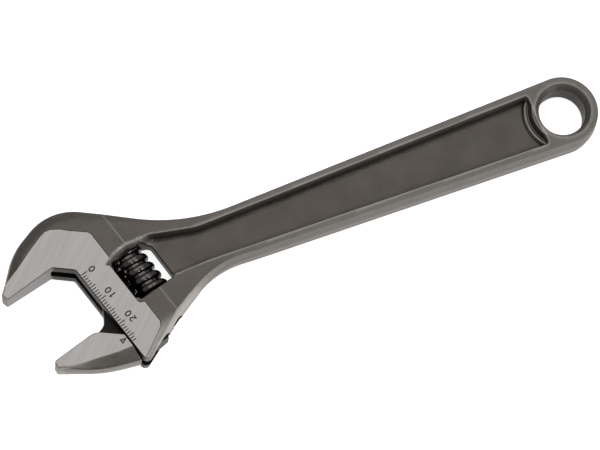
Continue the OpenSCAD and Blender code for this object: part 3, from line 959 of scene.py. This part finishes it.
def build_worm():
    """Worm: radius = core + depth * ridge(x), where x is the distance along the axis from the nearest
    turn of a left-hand helix and the ridge is (1 - |x / 1.35|^2.6)^0.6, lowered by shallow flutes
    along the axis. The ends, the bore and the spring's pocket close the surface."""
    core, bore, pocket, pocket_depth = WORM_R - THREAD_DEPTH, 1.6, 2.9, 5.0
    turns = 144
    t = np.linspace(0, 2 * math.pi, turns, endpoint=False)
    v = np.concatenate([[0.0, 0.0], np.linspace(0.12, WORM_LEN - 0.12, 200), [WORM_LEN, WORM_LEN]])
    vv, tt = np.meshgrid(v, t, indexing="ij")
    x = (WORM_U + vv - FIRST_GAP_U) / PITCH + (tt - math.pi) / (2 * math.pi)
    x = np.abs(x - np.round(x)) * PITCH
    ridge = (1 - np.clip(x / 1.35, 0, 1) ** 2.6) ** 0.6
    flute = np.abs((tt * 5 / (2 * math.pi) + 0.2) % 1 - 0.5) * 2 * math.pi * WORM_R / 5
    ridge -= 0.14 * ridge * np.exp(-(flute / 0.35) ** 2)
    outer = core + THREAD_DEPTH * ridge
    outer[[0, -1]] = np.minimum(outer[[0, -1]] - 0.12, core + 0.75)
    rows = [np.stack([outer[1:] * np.cos(tt[1:]), outer[1:] * np.sin(tt[1:]), vv[1:]], -1)]
    rows[0] = rows[0][:-1]
    ends = [(core - 0.2, WORM_LEN), (bore, WORM_LEN), (bore, pocket_depth), (pocket, pocket_depth),
            (pocket, 0.0), (core - 0.2, 0.0)]
    rows += [np.stack([r * np.cos(t), r * np.sin(t), np.full(turns, z)], -1)[None] for r, z in ends]
    grid = np.concatenate(rows)
    faces = grid_faces(len(grid), turns, wrap=True, wrap_rows=True)
    piece = mesh_object("adjusting_worm_knurl", laid(grid.reshape(-1, 3), WORM_W, WORM_U), flipped(faces),
                        "worm", [BLACK], sharp=40)
    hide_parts("adjusting_worm")
    return piece


def build_spring():
    """Open coil: a circle of the wire's radius carried along a helix, closed by a fan at each end."""
    per_turn, sides, turns = 32, 10, 6
    n = per_turn * turns + 1
    a = np.linspace(0, 2 * math.pi * turns, n)[:, None]
    b = np.linspace(0, 2 * math.pi, sides, endpoint=False)[None]
    wire, coil, height = 0.3, 2.25, 5.15
    r = coil + wire * np.cos(b)
    z = wire + (height - 2 * wire) * a / a.max() + wire * np.sin(b)
    grid = np.stack([r * np.cos(a), r * np.sin(a), z], -1).reshape(-1, 3)
    piece = mesh_object("worm_spring_coil", laid(grid, WORM_W, 9.95), tube_faces(n, sides), "frame",
                        [WIRE], sharp=50)
    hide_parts("worm_spring")
    return piece


def finish_edges(piece):
    """Keeps edges sharper than 38 degrees as edges, and makes the rest smooth."""
    m = piece.data
    m.polygons.foreach_set("use_smooth", np.ones(len(m.polygons), bool))
    m.set_sharp_from_angle(angle=math.radians(38))
    m.update()


body = build_body()
carve(body, [*channel_cutters(), *scale_marks()])
finish_edges(body)
build_jaw()
build_neck()
build_rail()
build_lip()
build_worm()
build_spring()
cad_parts["worm_pin"].data.materials.clear()
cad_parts["worm_pin"].data.materials.append(TURNED)


# ---- studio -------------------------------------------------------------------------------------

def area_light(name, at, look, size, power):
    light = bpy.data.lights.new(name, "AREA")
    light.shape, light.size, light.energy = "DISK", size, power
    o = bpy.data.objects.new(name, light)
    o.location = at
    o.rotation_euler = (Vector(look) - Vector(at)).to_track_quat("-Z", "Y").to_euler()
    bpy.context.scene.collection.objects.link(o)


def studio():
    """Light table of white acrylic lit from below, a room of even dim white, and large soft
    lamps overhead and at one side."""
    mesh = bpy.data.meshes.new("floor")
    s, z = 3.0, -0.0001
    mesh.from_pydata([(-s, -s, z), (s, -s, z), (s, s, z), (-s, s, z)], [], [(0, 1, 2, 3)])
    acrylic, tree, shader = steel("backlit_white_acrylic", 0.0, Roughness=0.9)
    at = add(tree, "TexCoord", {}).outputs["Object"]
    tooth = add(tree, "TexNoise", {"Vector": at, "Scale": per(4), "Detail": 2.0})
    tree.links.new(blend_colour(tree, tooth.outputs["Fac"], srgb("#fbfbfb"), srgb("#fdfdfd")),
                   shader.inputs["Base Color"])
    shader.inputs["Emission Color"].default_value = (1, 1, 1, 1)
    shader.inputs["Emission Strength"].default_value = 0.8
    mesh.materials.append(acrylic)
    floor = bpy.data.objects.new("floor", mesh)
    bpy.context.scene.collection.objects.link(floor)
    world = bpy.data.worlds.new("room")
    world.use_nodes = True
    world.node_tree.nodes["Background"].inputs["Color"].default_value = (1, 1, 1, 1)
    world.node_tree.nodes["Background"].inputs["Strength"].default_value = 0.38
    bpy.context.scene.world = world
    area_light("overhead_softbox", (0.1, 0.25, 1.3), (0, 0, 0), 1.5, 7.0)
    area_light("side_softbox", (0.5, -0.9, 0.45), (0, 0, 0), 0.5, 3.0)


def camera():
    """Pinhole 1 m from the head's front face, along the line of sight, with no shift."""
    right, up, back = (Vector(v) for v in ((0.920959, -0.379592, 0.088), (0.340878, 0.894261, 0.29),
                                           (-0.188777, -0.237081, 0.952972)))
    data = bpy.data.cameras.new("camera")
    data.sensor_width, data.sensor_fit, data.lens = 36, "HORIZONTAL", 185.839
    data.clip_start, data.clip_end = 0.05, 10
    o = bpy.data.objects.new("camera", data)
    turn = Matrix((right, up, back)).transposed().to_4x4()
    o.matrix_world = Matrix.Translation((-0.194387, -0.241355, 0.966972)) @ turn
    bpy.context.scene.collection.objects.link(o)
    bpy.context.scene.camera = o


studio()
camera()
bpy.context.scene.view_settings.view_transform = "Standard"
